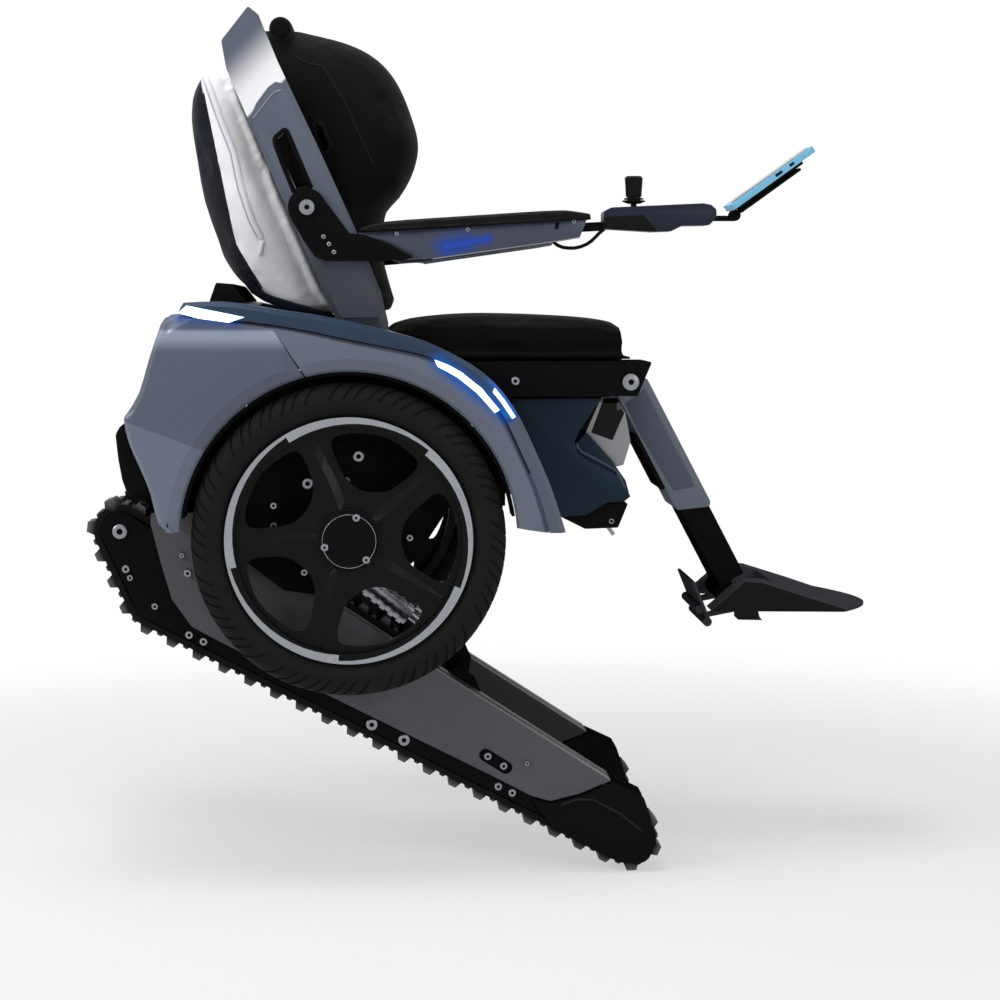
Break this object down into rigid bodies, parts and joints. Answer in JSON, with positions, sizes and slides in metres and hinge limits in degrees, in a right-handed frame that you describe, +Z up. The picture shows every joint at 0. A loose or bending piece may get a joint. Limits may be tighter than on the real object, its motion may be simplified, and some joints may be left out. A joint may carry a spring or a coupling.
{
  "type": "stair climbing wheelchair",
  "caption": "Powered wheelchair that climbs stairs on swinging rubber tracks, with spoked wheels, lifting seat, reclining back, flip-up arms, joystick and telescopic legrest.",
  "frame": {"origin": "on the floor plane of the lowest track lugs, under the middle of the length and width", "axes": "+X forward, +Y to the chair's left, +Z up; the tracks are lowered as on a stair"},
  "size_m": [1.368, 0.692, 1.463],
  "materials": {
    "frame_black": "satin",
    "motor_dark": "satin",
    "battery_gray": "matte",
    "silver_paint": "gloss",
    "slate_paint": "gloss",
    "trim_black": "matte",
    "pod_silver": "satin",
    "gloss_black": "gloss",
    "light_white": "gloss",
    "bolt_steel": "satin",
    "bare_aluminium": "satin",
    "tyre_black": "matte",
    "rim_black": "satin",
    "ring_silver": "polished",
    "cover_gray": "satin",
    "belt_rubber": "matte",
    "pulley_black": "matte",
    "seat_fabric": "woven",
    "bag_fabric": "woven",
    "pad_foam": "matte",
    "control_navy": "satin",
    "grip_rubber": "matte",
    "cable_black": "matte",
    "case_blue": "satin"
  },
  "bodies": {
    "chassis": {"main_frame": "frame_black", "side_plates": "frame_black", "hub_motors": "motor_dark", "battery_pack": "battery_gray", "rear_fenders": "silver_paint", "front_fenders": "silver_paint", "top_rails": "slate_paint", "rear_housing": "slate_paint", "rear_bumper": "trim_black", "rear_handle": "trim_black", "front_housing": "slate_paint", "front_lower_cap": "trim_black", "front_lamp_pod": "pod_silver", "front_lamp_windows": "gloss_black", "light_strips": "light_white", "lift_column": "frame_black", "chassis_bolts": "bolt_steel", "track_actuators": "bare_aluminium"},
    "wheel_right": {"tyre_right": "tyre_black", "rim_right": "rim_black", "rim_trim_right": "ring_silver", "hub_cap_right": "trim_black"},
    "wheel_left": {"tyre_left": "tyre_black", "rim_left": "rim_black", "rim_trim_left": "ring_silver", "hub_cap_left": "trim_black"},
    "tracks": {"track_carrier": "frame_black", "track_side_plates": "frame_black", "track_covers": "cover_gray", "track_belt_right": "belt_rubber", "track_belt_left": "belt_rubber", "track_pulleys": "pulley_black", "track_nose_caps": "trim_black", "track_bolts": "bolt_steel"},
    "seat": {"seat_frame": "frame_black", "seat_cushion": "seat_fabric", "lift_ram": "bare_aluminium", "leg_pivot": "bolt_steel"},
    "back": {"back_wings": "silver_paint", "back_frame": "trim_black", "back_cushion": "seat_fabric", "bag": "bag_fabric", "arm_pivots": "bolt_steel"},
    "arm_right": {"arm_bracket_right": "frame_black", "arm_rail_right": "silver_paint", "arm_pad_right": "pad_foam", "control_bar": "frame_black", "control_box": "control_navy", "control_cable": "cable_black", "phone_holder": "trim_black"},
    "arm_left": {"arm_bracket_left": "frame_black", "arm_rail_left": "silver_paint", "arm_pad_left": "pad_foam"},
    "gimbal": {"joystick_gimbal": "bolt_steel"},
    "stick": {"joystick": "grip_rubber"},
    "phone_mount": {"phone_cradle": "trim_black", "phone": "case_blue"},
    "leg": {"leg_sleeve": "silver_paint"},
    "shin": {"leg_tube": "frame_black"},
    "foot": {"footplate": "trim_black"}
  },
  "joints": [
    {"name": "wheel_right_spin", "type": "hinge", "parent": "chassis", "child": "wheel_right", "pos_m": [-0.24477, -0.314, 0.58497], "axis": [0, 1, 0], "continuous": true},
    {"name": "wheel_left_spin", "type": "hinge", "parent": "chassis", "child": "wheel_left", "pos_m": [-0.24477, 0.314, 0.58497], "axis": [0, 1, 0], "continuous": true},
    {"name": "track_swing", "type": "hinge", "parent": "chassis", "child": "tracks", "pos_m": [-0.49009, 0, 0.47007], "axis": [0, 1, 0], "range_deg": [-27, 0]},
    {"name": "seat_lift", "type": "slide", "parent": "chassis", "child": "seat", "axis": [0, 0, 1], "range_m": [0, 0.16]},
    {"name": "back_recline", "type": "hinge", "parent": "seat", "child": "back", "pos_m": [-0.18977, 0, 0.91197], "axis": [0, 1, 0], "range_deg": [-2, 10]},
    {"name": "arm_right_flip", "type": "hinge", "parent": "back", "child": "arm_right", "pos_m": [-0.31077, -0.27, 1.13097], "axis": [0, 1, 0], "range_deg": [-95, 0]},
    {"name": "arm_left_flip", "type": "hinge", "parent": "back", "child": "arm_left", "pos_m": [-0.31077, 0.27, 1.13097], "axis": [0, 1, 0], "range_deg": [-95, 0]},
    {"name": "joystick_roll", "type": "hinge", "parent": "arm_right", "child": "gimbal", "pos_m": [0.23021, -0.27, 1.12722], "axis": [1, 0, 0], "range_deg": [-12, 12], "stiffness_Nm_per_rad": 1},
    {"name": "joystick_pitch", "type": "hinge", "parent": "gimbal", "child": "stick", "pos_m": [0.23021, -0.27, 1.12722], "axis": [0, 1, 0], "range_deg": [-12, 12], "stiffness_Nm_per_rad": 1},
    {"name": "phone_tilt", "type": "hinge", "parent": "arm_right", "child": "phone_mount", "pos_m": [0.39922, -0.27, 1.11998], "axis": [0, 1, 0], "range_deg": [-35, 30]},
    {"name": "leg_swing", "type": "hinge", "parent": "seat", "child": "leg", "pos_m": [0.23223, 0, 0.84097], "axis": [0, 1, 0], "range_deg": [-40, 5]},
    {"name": "leg_slide", "type": "slide", "parent": "leg", "child": "shin", "axis": [0.4648, 0, -0.8854], "range_m": [-0.03, 0.09]},
    {"name": "foot_flip", "type": "hinge", "parent": "shin", "child": "foot", "pos_m": [0.42503, 0, 0.45653], "axis": [0, 1, 0], "range_deg": [-50, 0]}
  ]
}
